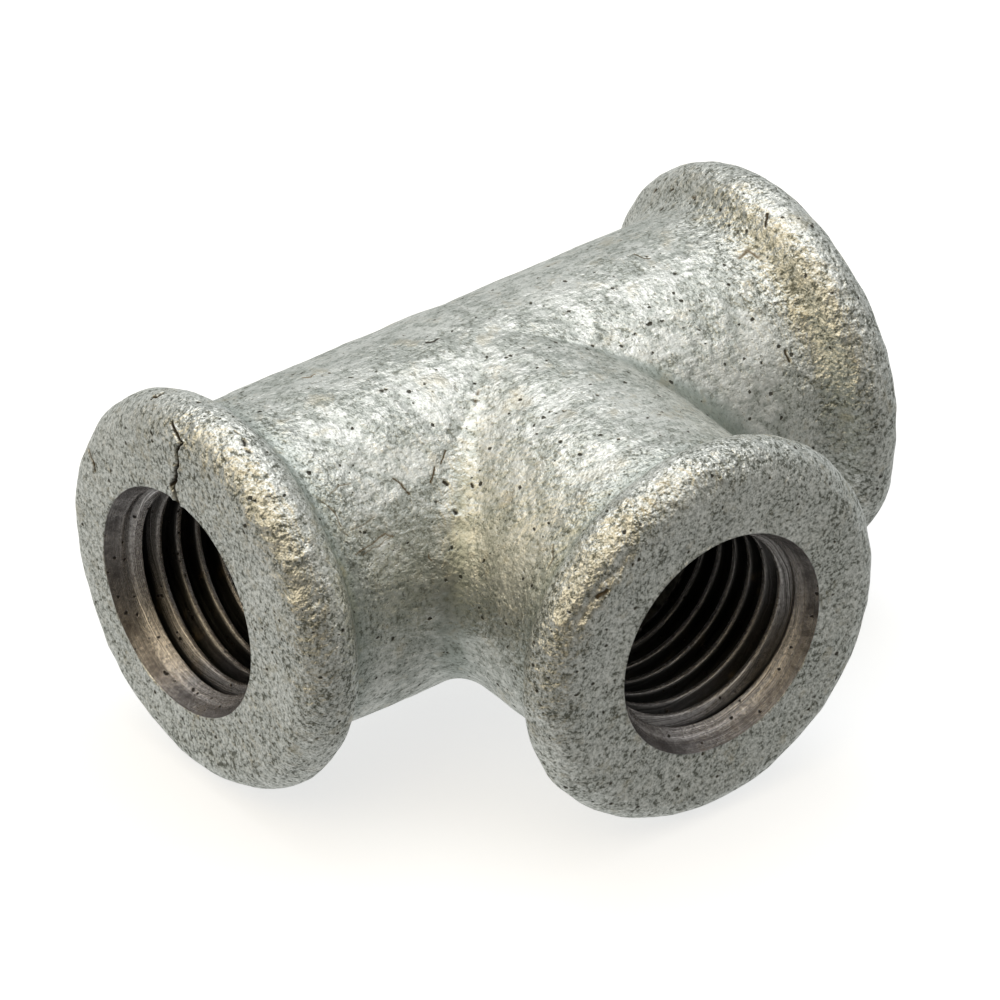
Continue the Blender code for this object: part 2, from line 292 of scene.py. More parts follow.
def bead_profile(fillet, shade):
    """Rows of (radius, height, valley) from the loft's end, over the bead, to the flat face's edge."""
    bead_middle = CENTRE_TO_FACE - BEAD_FRONT_ROUND
    back_centre = BEAD_RADIUS - BEAD_BACK_ROUND
    front_centre = BEAD_RADIUS - BEAD_FRONT_ROUND
    fillet_centre = NECK_RADIUS + fillet
    across = fillet_centre - back_centre
    down = math.sqrt((BEAD_BACK_ROUND + fillet) ** 2 - across**2)
    meeting = math.atan2(down, across)
    neck_end = bead_middle - down
    rows = []
    # The valley share is painted shade, along the neck and round the fillet into the bead's back.
    for height in np.linspace(LOFT_REACH, neck_end, steps_over(neck_end - LOFT_REACH) + 1)[:-1]:
        nearness = max(0.0, 1 - (neck_end - height) / VALLEY_REACH)
        rows.append((NECK_RADIUS, height, NECK_SHADE * shade * nearness))
    for angle in np.linspace(math.pi, math.pi - meeting, steps_over(fillet * meeting) + 1):
        radius = fillet_centre + fillet * math.cos(angle)
        depth_in = NECK_SHADE + (1 - NECK_SHADE) * math.sin(angle)
        rows.append((radius, neck_end + fillet * math.sin(angle), shade * depth_in))
    for angle in np.linspace(-meeting, 0, steps_over(BEAD_BACK_ROUND * meeting) + 1)[1:]:
        radius = back_centre + BEAD_BACK_ROUND * math.cos(angle)
        height = bead_middle + BEAD_BACK_ROUND * math.sin(angle)
        rows.append((radius, height, shade * max(0.0, -math.sin(angle) - BEAD_BACK_SHADE_LOSS)))
    for angle in np.linspace(0, QUARTER_TURN, steps_over(BEAD_FRONT_ROUND * QUARTER_TURN) + 1)[1:]:
        radius = front_centre + BEAD_FRONT_ROUND * math.cos(angle)
        rows.append((radius, bead_middle + BEAD_FRONT_ROUND * math.sin(angle), 0.0))
    return np.array(rows)


def thread_radius(pitches):
    """The tapped wall's radius after that many turns of the helix; a whole number is a crest."""
    height = THREAD_MAJOR_RADIUS - CREST_RADIUS
    flank = 0.5 - CREST_HALF_SHARE - ROOT_HALF_SHARE
    away = np.abs(pitches - np.round(pitches))
    rise = np.clip((away - CREST_HALF_SHARE) / flank, 0, 1)
    return CREST_RADIUS + height * rise**2 * (3 - 2 * rise)


def add_face(surface, leg, turn):
    """The flat annular face, whose inner edge is the countersink's rim."""
    edge = BEAD_RADIUS - BEAD_FRONT_ROUND
    inward = np.linspace(0, FACE_EVEN_SHARE, steps_over(edge - MOUTH_RADIUS) + 1)
    inward = np.concatenate([inward, FACE_RIM_ROWS])[:, None]
    radius = edge + (MOUTH_RADIUS - edge) * inward
    surface.add(leg_points(leg, radius, turn, CENTRE_TO_FACE, inward), SKIN, closed=True, bead=1.0)


def add_tapped_wall(surface, leg):
    """The countersink and the thread, as one grid whose rows follow the helix."""
    deepest = CENTRE_TO_FACE - ZONE_PLANE
    steps = np.array(HALF_PITCH_ROWS)
    steps = np.concatenate([steps, 1 - steps[-2:0:-1]])
    first_crest = FIRST_CREST_DEPTHS[leg]
    first = math.floor(-first_crest / PITCH) - 1
    last = math.ceil((deepest - first_crest) / PITCH) + 2
    start = (np.arange(first, last)[:, None] + steps).reshape(-1, 1)
    turn = np.linspace(0, 2 * math.pi, ROUND_STEPS + 1)
    depth = first_crest + PITCH * (start - turn / (2 * math.pi))
    depth = np.clip(depth, 0, deepest)
    turns_in = (depth - first_crest) / PITCH + turn / (2 * math.pi)
    cone = MOUTH_RADIUS - (MOUTH_RADIUS - CREST_RADIUS) * depth / MOUTH_DEPTH
    way_in = np.clip((depth - RUN_IN_START) / (RUN_IN_END - RUN_IN_START), 0, 1)
    run_in = RUN_IN_SHARE + (1 - RUN_IN_SHARE) * way_in
    ground = np.maximum(cone, CREST_RADIUS)
    threaded = ground + run_in * np.maximum(thread_radius(turns_in) - ground, 0)
    threaded = np.where(depth >= deepest, CREST_RADIUS, threaded)
    radius = np.maximum(cone, threaded)
    crest = np.clip(1 - (radius - CREST_RADIUS) / CREST_EDGE, 0, 1)
    crest = crest * np.clip((depth - CREST_FADE_FROM) / CREST_FADE, 0, 1)
    groove = np.clip((threaded - ground) / (THREAD_MAJOR_RADIUS - CREST_RADIUS), 0, 1)
    wall = leg_points(leg, radius, turn, CENTRE_TO_FACE - depth, 1.0)
    surface.add(wall, MACHINED, depth=depth, crest=crest, groove=groove)


def add_end(surface, leg):
    """One leg's end: its neck and bead, flat face, countersunk mouth, thread and inner shoulder."""
    turn = np.linspace(0, 2 * math.pi, ROUND_STEPS + 1)[:-1]
    profile = bead_profile(BEAD_FILLETS[leg], BEAD_FILLET_SHADE[leg])
    radius, height, valley = profile.T[:, :, None]
    bead = np.clip((height - LOFT_REACH) / BEAD_BLEND, 0, 1)
    surface.add(leg_points(leg, radius, turn, height), SKIN, closed=True, valley=valley, bead=bead)
    add_face(surface, leg, turn)
    add_tapped_wall(surface, leg)
    outward = np.array(SHOULDER_ROWS)[:, None]
    radius = CREST_RADIUS + (CORE_RADIUS - CREST_RADIUS) * outward
    surface.add(leg_points(leg, radius, turn, ZONE_PLANE, 1 - outward), CORED, closed=True)


def weld(surface):
    """Makes coinciding points one and drops the quads that this collapses."""
    points = np.concatenate(surface.points)
    keys = np.round(points / MERGE_GRID + MERGE_OFFSET).astype(np.int64)
    _, first, index = np.unique(keys, axis=0, return_index=True, return_inverse=True)
    index = index.reshape(-1)
    quads = index[np.concatenate(surface.faces)]
    masks = {}
    for name, store in surface.masks.items():
        masks[name] = np.zeros(len(first))
        np.maximum.at(masks[name], index, np.concatenate(store))
    faces, kinds = [], []
    for quad, kind in zip(quads.tolist(), np.concatenate(surface.kinds).tolist()):
        corners = [corner for i, corner in enumerate(quad) if corner != quad[i - 1]]
        if len(set(corners)) == len(corners) >= 3:
            faces.append(corners)
            kinds.append(kind)
    return points[first], faces, np.array(kinds), masks


# ---------------------------------------------------------------- noise


# Moves every point to the positive side of the noise's lattice, in cells.
LATTICE_OFFSET = 1000.5


def hashed(x, y, z, seed):
    """A repeatable number from 0 to 1 for each lattice point; the large odd factors mix the bits."""
    h = (x * 374761393 + y * 668265263 + z * 1274126177 + seed * 974711) & 0xFFFFFFFF
    h = ((h ^ (h >> 13)) * 1103515245) & 0xFFFFFFFF
    h = ((h ^ (h >> 15)) * 2246822519) & 0xFFFFFFFF
    return ((h ^ (h >> 16)) & 0xFFFFFF) / float(0xFFFFFF)


def noise(points, wavelength, seed):
    """Smooth value noise from -1 to 1."""
    scaled = points / wavelength + LATTICE_OFFSET
    cell = np.floor(scaled).astype(np.int64)
    part = scaled - cell
    part = part**3 * (part * (part * 6 - 15) + 10)
    total = np.zeros(len(points))
    for corner in range(8):
        step = np.array([corner & 1, corner >> 1 & 1, corner >> 2 & 1])
        weight = np.prod(np.where(step, part, 1 - part), axis=1)
        at = cell + step
        total += weight * hashed(at[:, 0], at[:, 1], at[:, 2], seed)
    return total * 2 - 1


# The cast skin's waves: each has its height and length in millimetres, and a seed.
SWAY = ((0.05, 8.0, 1), (0.05, 4.5, 2))
LUMPS = ((0.040, 2.2, 3), (0.026, 1.2, 4), (0.018, 0.7, 5))

# The lumps are lower by this share in a valley, and higher by this share on a bead.
VALLEY_CALM = 0.75
BEAD_EXTRA = 0.5


def waves(points, table):
    """The sum of a table's waves at each point."""
    return sum(height * MM * noise(points, length * MM, seed) for height, length, seed in table)


def roughen(points, masks):
    """How far the cast skin moves in and out, as sand and zinc leave it."""
    rough = np.clip(1 - VALLEY_CALM * masks["valley"], 0, 1) * (1 + BEAD_EXTRA * masks["bead"])
    return waves(points, SWAY) + rough * waves(points, LUMPS)


# ---------------------------------------------------------------- flaws


def path_offsets(points, path):
    """From each point, the way to the nearest place on a line of points in millimetres."""
    path = np.array(path) * MM + np.array(CENTRE)
    nearest = np.full((len(points), 3), 1.0)
    for start, end in zip(path[:-1], path[1:]):
        along = end - start
        share = np.clip((points - start) @ along / (along @ along), 0, 1)
        offset = start + share[:, None] * along - points
        closer = np.linalg.norm(offset, axis=1) < np.linalg.norm(nearest, axis=1)
        nearest[closer] = offset[closer]
    return nearest


def refine_flaws(bm):
    """Cuts the faces round each flaw finely enough to hold its shape."""
    for _ in range(FLAW_PASSES):
        middles = np.array([face.calc_center_median() for face in bm.faces])
        near = np.zeros(len(middles), bool)
        for flaw in FLAWS:
            near |= np.linalg.norm(path_offsets(middles, flaw.path), axis=1) < FLAW_REACH
        bm.faces.ensure_lookup_table()
        edges = {edge for i in np.flatnonzero(near) for edge in bm.faces[i].edges}
        bmesh.ops.subdivide_edges(bm, edges=list(edges), cuts=FLAW_CUTS, use_grid_fill=True)


def sink_flaws(points, normals, masks):
    """How far each point moves for the flaws; the masks get their darkness and their rust."""
    moved = np.zeros(len(points))
    wander = [noise(points, FLAW_WANDER_LENGTH, seed) for seed in FLAW_WANDER_SEEDS]
    ragged = points + FLAW_WANDER * np.stack(wander, axis=-1)
    for flaw in FLAWS:
        offset = path_offsets(ragged, flaw.path)
        level = (offset * normals).sum(axis=1)
        flat = np.linalg.norm(offset - level[:, None] * normals, axis=1)
        widths = flat / (flaw.width * MM)
        inside = np.exp(-(widths**2)) * (np.abs(level) < 2 * FLAW_REACH)
        moved -= flaw.depth * MM * inside
        moved += FLAW_LIP * flaw.depth * MM * np.exp(-((widths - FLAW_LIP_AT) ** 2))
        masks["mark"] = np.maximum(masks["mark"], inside * flaw.dark)
        masks["rust"] = np.maximum(masks["rust"], inside * flaw.rust)
    return moved


# ---------------------------------------------------------------- materials


class Nodes:
    """Short ways to add and join shader nodes."""

    def __init__(self, name):
        self.material = bpy.data.materials.new(name)
        self.material.use_nodes = True
        self.tree = self.material.node_tree
        self.shader = self.tree.nodes["Principled BSDF"]

    def new(self, kind, **settings):
        """A new node of that kind."""
        node = self.tree.nodes.new(kind)
        for key, value in settings.items():
            setattr(node, key, value)
        return node

    def put(self, socket, value):
        """Links a socket to another's value, or sets it."""
        if isinstance(value, bpy.types.NodeSocket):
            self.tree.links.new(value, socket)
        else:
            socket.default_value = value

    def millimetres(self):
        """The object's own coordinates, in millimetres."""
        scale = self.new("ShaderNodeVectorMath", operation="SCALE")
        self.put(scale.inputs[0], self.new("ShaderNodeTexCoord").outputs["Object"])
        self.put(scale.inputs["Scale"], 1 / MM)
        return scale.outputs[0]

    def noise(self, where, size, detail=2.0, roughness=0.5, distortion=0.0):
        """Noise with features about size millimetres across."""
        node = self.new("ShaderNodeTexNoise")
        self.put(node.inputs["Vector"], where)
        self.put(node.inputs["Scale"], 1 / size)
        self.put(node.inputs["Detail"], detail)
        self.put(node.inputs["Roughness"], roughness)
        self.put(node.inputs["Distortion"], distortion)
        return node.outputs["Fac"]

    def cells(self, where, size):
        """The outputs of a cell pattern with cells about size millimetres across."""
        node = self.new("ShaderNodeTexVoronoi")
        self.put(node.inputs["Vector"], where)
        self.put(node.inputs["Scale"], 1 / size)
        return node.outputs

    def spots(self, where, spacing, radius, inner=0.05, outer=0.03):
        """A round spot in each cell; its radius and its edge's two halves are in shares of the spacing."""
        beyond = self.maths("SUBTRACT", self.cells(where, spacing)["Distance"], radius)
        return self.ramp(beyond, -inner, outer, 1.0, 0.0)

    def ramp(self, value, low, high, from_value=0.0, to_value=1.0):
        """value mapped smoothly from low..high to from_value..to_value, and held outside."""
        node = self.new("ShaderNodeMapRange", interpolation_type="SMOOTHSTEP")
        self.put(node.inputs["Value"], value)
        sockets = ("From Min", "From Max", "To Min", "To Max")
        for socket, number in zip(sockets, (low, high, from_value, to_value)):
            self.put(node.inputs[socket], number)
        return node.outputs["Result"]

    def maths(self, operation, a, b=0.0):
        """One sum on numbers."""
        node = self.new("ShaderNodeMath", operation=operation)
        self.put(node.inputs[0], a)
        self.put(node.inputs[1], b)
        return node.outputs[0]

    def vector(self, operation, a, b=None):
        """One sum on vectors that gives a vector."""
        node = self.new("ShaderNodeVectorMath", operation=operation)
        self.put(node.inputs[0], a)
        if b is not None:
            self.put(node.inputs[1], b)
        return node.outputs["Vector"]

    def dot(self, a, b):
        """The dot product of two vectors."""
        node = self.new("ShaderNodeVectorMath", operation="DOT_PRODUCT")
        self.put(node.inputs[0], a)
        self.put(node.inputs[1], b)
        return node.outputs["Value"]

    def stretched(self, where, x, y, z):
        """The same place with each axis scaled, so that a pattern made there is drawn out."""
        return self.vector("MULTIPLY", where, (x, y, z))

    def wavering(self, where, size, amount):
        """The same place pushed about by amount millimetres, so that a pattern's edges turn ragged."""
        wander = self.new("ShaderNodeTexNoise")
        self.put(wander.inputs["Vector"], where)
        self.put(wander.inputs["Scale"], 1 / size)
        centred = self.new("ShaderNodeVectorMath", operation="MULTIPLY_ADD")
        self.put(centred.inputs[0], wander.outputs["Color"])
        self.put(centred.inputs[1], (amount,) * 3)
        self.put(centred.inputs[2], where)
        return centred.outputs[0]

    def flecks(self, where, size, thickness, reach, share):
        """Thin dashes lying every way: a share of the cells hold a flat disc that cuts the surface."""
        cell = self.cells(where, size)
        here = self.stretched(where, 1 / size, 1 / size, 1 / size)
        middle = self.stretched(cell["Position"], 1 / size, 1 / size, 1 / size)
        offset = self.vector("SUBTRACT", here, middle)
        facing = self.vector("NORMALIZE", self.vector("SUBTRACT", cell["Color"], (0.5, 0.5, 0.5)))
        across = self.maths("ABSOLUTE", self.dot(offset, facing))
        thin = self.ramp(across, 0.3 * thickness / size, thickness / size, 1.0, 0.0)
        short = self.ramp(cell["Distance"], 0.8 * reach / size, reach / size, 1.0, 0.0)
        white = self.new("ShaderNodeTexWhiteNoise")
        self.put(white.inputs["Vector"], cell["Color"])
        chosen = self.maths("LESS_THAN", white.outputs["Value"], share)
        along = self.dot(self.new("ShaderNodeNewGeometry").outputs["Normal"], facing)
        upright = self.maths("LESS_THAN", self.maths("ABSOLUTE", along), 0.7)
        return self.times(self.times(thin, short), self.times(chosen, upright))

    def add(self, *values):
        """The sum of all the values."""
        total = values[0]
        for value in values[1:]:
            total = self.maths("ADD", total, value)
        return total

    def times(self, a, b):
        """The product of two values."""
        return self.maths("MULTIPLY", a, b)

    def mix(self, amount, a, b):
        """Colour a at amount 0, and colour b at amount 1."""
        node = self.new("ShaderNodeMix", data_type="RGBA")
        self.put(node.inputs[0], amount)
        for socket, value in ((node.inputs[6], a), (node.inputs[7], b)):
            self.put(socket, (*value, 1) if isinstance(value, tuple) else value)
        return node.outputs[2]

    def field(self, name):
        """One of the mesh's masks."""
        return self.new("ShaderNodeAttribute", attribute_name=name).outputs["Fac"]

    def bump(self, height_mm):
        """Gives the shader a fine relief."""
        node = self.new("ShaderNodeBump")
        self.put(node.inputs["Distance"], MM)
        self.put(node.inputs["Height"], height_mm)
        self.put(self.shader.inputs["Normal"], node.outputs["Normal"])


# The colours, in linear light.
ZINC_DULL, ZINC_BRIGHT = (0.46, 0.49, 0.46), (0.82, 0.835, 0.81)
GRAIN_DARK, GRAIN_BRIGHT = (0.27, 0.285, 0.26), (0.97, 0.98, 0.96)
# Painted shade for the valleys, a dark green-grey.
VALLEY_SHADE_GREEN = (0.30, 0.355, 0.325)
SPECK_DARK = (0.14, 0.145, 0.12)
STAIN_BROWN = (0.40, 0.34, 0.20)
PINHOLE_BLACK = (0.045, 0.04, 0.03)
CRACK_BLACK = (0.02, 0.018, 0.014)
RUST_BROWN = (0.155, 0.10, 0.035)
LAND_DARK, LAND_BRIGHT = (0.32, 0.30, 0.305), (0.97, 0.94, 0.95)
RIM_DARK = (0.10, 0.088, 0.09)
# The flanks are painted darker than the land, and darker still deep in, as shade; the roots and the bore are
# painted black as shade.
FLANK_DARK, FLANK_BRIGHT = (0.20, 0.19, 0.192), (0.55, 0.53, 0.535)
FLANK_DEEP_SHADE = (0.04, 0.039, 0.038)
ROOT_SHADE_BLACK = (0.010, 0.010, 0.010)
BORE_SHADE_BLACK = (0.015, 0.015, 0.015)
OIL_BROWN = (0.30, 0.22, 0.12)
OIL_BLACK = (0.02, 0.016, 0.012)
# The inside's iron, kept dark partly as painted shade.
CORED_DARK, CORED_BRIGHT = (0.10, 0.10, 0.095), (0.28, 0.28, 0.26)


def galvanised_skin():
    """Hot-dip zinc over a sand-cast skin: speckled grey, pinholed, streaked, with a little rust, and painted
    shade in its valleys.
    """
    n = Nodes("galvanised_skin")
    at = n.millimetres()
    valley = n.field("valley")
    bead = n.field("bead")
    mark = n.field("mark")
    off_bead = n.maths("SUBTRACT", 1.0, bead)
    ragged = n.wavering(at, 0.3, 0.25)
    broad = n.noise(at, 3.2, detail=2)
    mottle = n.noise(at, 0.9, detail=3, roughness=0.6)
    coarse = n.noise(at, 0.5, detail=2, roughness=0.55)
    speck = n.noise(at, 0.26, detail=2.5, roughness=0.6)
    fine = n.noise(at, 0.11, detail=1)
    streak = n.noise(n.stretched(at, 0.35, 1.0, 1.0), 0.28, detail=2.5, roughness=0.6)
    streak = n.add(0.5, n.times(n.maths("SUBTRACT", streak, 0.5), off_bead))
    worn = n.ramp(broad, 0.38, 0.62)

    # The zinc's tone, its fine grain on the beads, a painted green-grey shade in the valleys, dark specks
    # and stains.
    tone = n.add(n.times(broad, 0.5), n.times(mottle, 0.8), n.times(streak, 0.7))
    colour = n.mix(n.ramp(tone, 0.90, 1.10), ZINC_DULL, ZINC_BRIGHT)
    grain = n.ramp(n.add(n.times(speck, 0.62), n.times(fine, 0.38)), 0.36, 0.64)
    salt = n.mix(grain, GRAIN_DARK, GRAIN_BRIGHT)
    colour = n.mix(n.ramp(bead, 0.0, 1.0, 0.28, 0.74), colour, salt)
    # Painted shade: the valleys are darkened to a green-grey, streaked along the run.
    drawn = n.ramp(streak, 0.35, 0.65, 0.65, 1.0)
    colour = n.mix(n.times(valley, drawn), colour, VALLEY_SHADE_GREEN)
    coverage = n.add(speck, n.times(mottle, 0.4), n.times(fine, 0.30))
    coverage = n.add(coverage, n.times(worn, 0.06), n.times(bead, -0.02))
    dark_specks = n.ramp(coverage, 0.79, 0.69)
    dot_size = n.ramp(n.noise(at, 0.55, detail=1), 0.46, 0.66, 0.0, 0.30)
    dot = n.spots(ragged, 0.34, dot_size, 0.08, 0.04)
    dark_specks = n.maths("MAXIMUM", dark_specks, n.times(dot, 0.9))
    depth = n.ramp(n.maths("SUBTRACT", bead, valley), -0.8, 1.0, 0.36, 0.70)
    colour = n.mix(n.times(dark_specks, depth), colour, SPECK_DARK)
    stain = n.ramp(n.noise(at, 1.8, detail=4, roughness=0.7), 0.55, 0.70)
    colour = n.mix(n.times(stain, 0.4), colour, STAIN_BROWN)

    # Pinholes, rust hairs, and the darkness and rust of the flaws.
    pit = n.spots(ragged, 0.75, n.ramp(n.noise(at, 0.8), 0.37, 0.67, 0.0, 0.19))
    hair_share = n.ramp(bead, 0.0, 1.0, 0.13, 0.04)
    hairs = n.flecks(n.wavering(at, 0.6, 0.5), 2.4, 0.065, 0.5, hair_share)
    rust = n.maths("MAXIMUM", hairs, n.field("rust"))
    colour = n.mix(n.times(pit, 0.9), colour, PINHOLE_BLACK)
    colour = n.mix(n.ramp(mark, 0.1, 0.6), colour, CRACK_BLACK)
    colour = n.mix(n.times(rust, 0.8), colour, RUST_BROWN)
    n.put(n.shader.inputs["Base Color"], colour)
    n.put(n.shader.inputs["Metallic"], n.ramp(n.maths("MAXIMUM", rust, mark), 0.1, 0.6, 0.85, 0.2))
    dull = n.add(n.times(dark_specks, 0.12), n.times(n.maths("MAXIMUM", rust, pit), 0.3))
    n.put(n.shader.inputs["Roughness"], n.add(n.ramp(mottle, 0.3, 0.7, 0.46, 0.38), dull))

    # The relief, calmer in the valleys and stronger on the beads.
    calm = n.times(n.ramp(valley, 0.0, 1.0, 1.0, 0.25), n.ramp(worn, 0.0, 1.0, 1.15, 0.8))
    big = n.add(n.times(coarse, 0.13), n.times(mottle, 0.11))
    big = n.times(big, n.ramp(bead, 0.0, 1.0, 0.85, 1.65))
    relief = n.add(big, n.times(speck, 0.042), n.times(fine, 0.015), n.times(streak, 0.03))
    n.bump(n.add(n.times(relief, calm), n.times(pit, -0.07), n.times(dot, -0.02), n.times(rust, 0.02)))
    return n.material


def machined_iron():
    """Bare iron as the countersink and tap left it: oily, ringed with tool marks, and dark, partly by
    painted shade in the thread and down the bore.
    """
    n = Nodes("machined_iron")
    at = n.millimetres()
    depth = n.times(n.field("depth"), 1 / MM)
    crest = n.field("crest")
    groove = n.field("groove")
    rings = n.new("ShaderNodeTexNoise", noise_dimensions="1D")
    n.put(rings.inputs["W"], n.add(n.times(depth, 5.0), n.times(n.noise(at, 3.0), 1.2)))
    n.put(rings.inputs["Detail"], 4.0)
    n.put(rings.inputs["Roughness"], 0.8)
    mark = rings.outputs["Fac"]
    patch = n.noise(at, 1.4, detail=4, roughness=0.7)
    grain = n.noise(at, 0.18, detail=3, roughness=0.6)
    pit = n.spots(n.wavering(at, 0.3, 0.2), 0.6, n.ramp(n.noise(at, 0.7), 0.40, 0.66, 0.0, 0.22))

    # The countersink's bright land and dark rim; the thread's flanks, painted darker as shade; and painted
    # black shade in the roots and down the bore.
    streaked = n.ramp(n.add(mark, n.times(grain, 0.45)), 0.60, 0.86)
    land = n.mix(streaked, LAND_DARK, LAND_BRIGHT)
    rim = n.ramp(depth, 0.5, 1.1, 1.0, 0.0)
    land = n.mix(n.times(rim, n.ramp(patch, 0.35, 0.6, 0.85, 0.45)), land, RIM_DARK)
    # Painted shade: the flanks are darker than the land, and darker still deeper in.
    flank = n.mix(streaked, FLANK_DARK, FLANK_BRIGHT)
    flank = n.mix(n.ramp(depth, 2.5, 7.5), flank, FLANK_DEEP_SHADE)
    colour = n.mix(n.ramp(groove, 0.03, 0.22), land, flank)
    # Painted shade: the thread's roots turn black.
    colour = n.mix(n.ramp(groove, 0.55, 0.95), colour, ROOT_SHADE_BLACK)
    # Painted shade: down the bore, all but the crests turn black.
    inside = n.ramp(depth, 2.0, 4.5)
    colour = n.mix(n.times(inside, n.maths("SUBTRACT", 1.0, crest)), colour, BORE_SHADE_BLACK)
    colour = n.mix(n.times(n.ramp(patch, 0.56, 0.72), 0.2), colour, OIL_BROWN)
    colour = n.mix(n.times(pit, 0.9), colour, OIL_BLACK)
    n.put(n.shader.inputs["Base Color"], colour)
    n.put(n.shader.inputs["Metallic"], 0.9)
    n.put(n.shader.inputs["Roughness"], n.add(n.ramp(patch, 0.3, 0.7, 0.15, 0.25), n.times(pit, 0.3)))
    n.bump(n.add(n.times(mark, 0.026), n.times(grain, 0.012), n.times(pit, -0.05)))
    return n.material


def cored_iron():
    """The cast inside of the body, never machined, kept dark partly as painted shade of the closed chamber.
    """
    n = Nodes("cored_iron")
    at = n.millimetres()
    mottle = n.noise(at, 0.6, detail=5, roughness=0.65)
    colour = n.mix(n.ramp(mottle, 0.3, 0.7), CORED_DARK, CORED_BRIGHT)
    n.put(n.shader.inputs["Base Color"], colour)
    n.put(n.shader.inputs["Metallic"], 0.6)
    n.put(n.shader.inputs["Roughness"], n.ramp(mottle, 0.3, 0.7, 0.75, 0.6))
    n.bump(n.times(mottle, 0.12))
    return n.material


# ---------------------------------------------------------------- putting it together


def vertex_normals(mesh):
    """The mesh's point normals as an array."""
    normals = np.zeros(len(mesh.vertices) * 3)
    mesh.vertex_normals.foreach_get("vector", normals)
    return normals.reshape(-1, 3)


def whole_mesh():
    """The casting as one welded mesh, still smooth, cut along the zones' planes and round its flaws."""
    surface = Surface()
    add_tee(surface, NECK_RADIUS, LOFT_REACH, CROTCH_FILLET, STRAIGHT_STEPS, CROTCH_STEPS, SKIN)
    core_steps = (CORE_STRAIGHT_STEPS, CORE_CROTCH_STEPS)
    add_tee(surface, CORE_RADIUS, ZONE_PLANE, CORE_CROTCH_FILLET, *core_steps, CORED)
    for leg in LEG_TURNS:
        add_end(surface, leg)
    points, faces, kinds, masks = weld(surface)
    mesh = bpy.data.meshes.new("casting")
    mesh.from_pydata(points.tolist(), [], faces)
    mesh.polygons.foreach_set("material_index", kinds.astype(np.int32))
    for name, values in masks.items():
        attribute = mesh.attributes.new(name, "FLOAT", "POINT")
        attribute.data.foreach_set("value", values.astype(np.float32))
    bm = bmesh.new()
    bm.from_mesh(mesh)
    bmesh.ops.recalc_face_normals(bm, faces=bm.faces)
    for leg in LEG_TURNS:
        cut_zone(bm, leg)
    zone = bm.faces.layers.int.new("zone")
    for face in bm.faces:
        face[zone] = list(PIECES).index(zone_of(face.calc_center_median()))
    refine_flaws(bm)
    bm.to_mesh(mesh)
    bm.free()
    return mesh


def along_legs(place):
    """How far a place is out along each leg."""
    offset = place - CENTRE
    return {LEFT: -offset.x, RIGHT: offset.x, BRANCH: -offset.y}


def zone_of(place):
    """The CAD node whose part of the casting a place belongs to."""
    reach = along_legs(place)
    leg = max(reach, key=reach.get)
    return leg if reach[leg] > ZONE_PLANE - SEAM_SNAP else "body"


def cut_zone(bm, leg):
    """Cuts the skin along the plane where a leg's end zone starts."""
    axis = LEG_TURNS[leg].to_matrix() @ Vector((0, 0, 1))
    near = []
    for face in bm.faces:
        reach = along_legs(face.calc_center_median())
        if reach[leg] == max(reach.values()) and abs(reach[leg] - ZONE_PLANE) < MM:
            near.append(face)
    parts = {part for face in near for part in (face, *face.edges, *face.verts)}
    bmesh.ops.bisect_plane(
        bm, geom=list(parts), dist=SEAM_SNAP, plane_co=CENTRE + axis * ZONE_PLANE, plane_no=axis
    )


def shape_skin(mesh):
    """Gives the welded mesh its cast roughness and its flaws; machined and cored walls stay true."""
    count = len(mesh.vertices)
    points = np.zeros(count * 3)
    mesh.vertices.foreach_get("co", points)
    points = points.reshape(-1, 3)
    normals = vertex_normals(mesh)
    skin = np.ones(count)
    for face in mesh.polygons:
        if face.material_index != SKIN:
            skin[list(face.vertices)] = 0
    masks = {}
    for name in ("valley", "bead", "mark", "rust"):
        values = np.zeros(count, np.float32)
        mesh.attributes[name].data.foreach_get("value", values)
        masks[name] = values.astype(float)
    moved = roughen(points, masks) + sink_flaws(points, normals, masks)
    points += normals * (moved * skin)[:, None]
    mesh.vertices.foreach_set("co", points.reshape(-1))
    for name in ("mark", "rust"):
        mesh.attributes[name].data.foreach_set("value", masks[name].astype(np.float32))
    mesh.update()


def cut_out(mesh, node, smooth):
    """One zone of the casting as a closed mesh, shaded as the whole casting is."""
    bm = bmesh.new()
    bm.from_mesh(mesh)
    layer = bm.verts.layers.float_vector.new("smooth")
    for vert, normal in zip(bm.verts, smooth):
        vert[layer] = normal
    zone = bm.faces.layers.int["zone"]
    others = [face for face in bm.faces if face[zone] != list(PIECES).index(node)]
    bmesh.ops.delete(bm, geom=others, context="FACES")
    for leg in LEG_TURNS if node == "body" else [node]:
        rim = []
        for edge in bm.edges:
            reach = along_legs((edge.verts[0].co + edge.verts[1].co) / 2)
            if edge.is_boundary and reach[leg] == max(reach.values()):
                rim.append(edge)
        for face in bmesh.ops.bridge_loops(bm, edges=rim)["faces"]:
            face.material_index = CAPPED
    bmesh.ops.recalc_face_normals(bm, faces=bm.faces)
    piece = bpy.data.meshes.new(PIECES[node])
    bm.to_mesh(piece)
    bm.free()
    normals = []
    for face in piece.polygons:
        if face.material_index == CAPPED:
            normals += [face.normal.copy()] * face.loop_total
            face.material_index = CORED
        else:
            normals += [piece.attributes["smooth"].data[corner].vector.copy() for corner in face.vertices]
    piece.attributes.remove(piece.attributes["smooth"])
    piece.shade_smooth()
    piece.normals_split_custom_set(normals)
    return piece


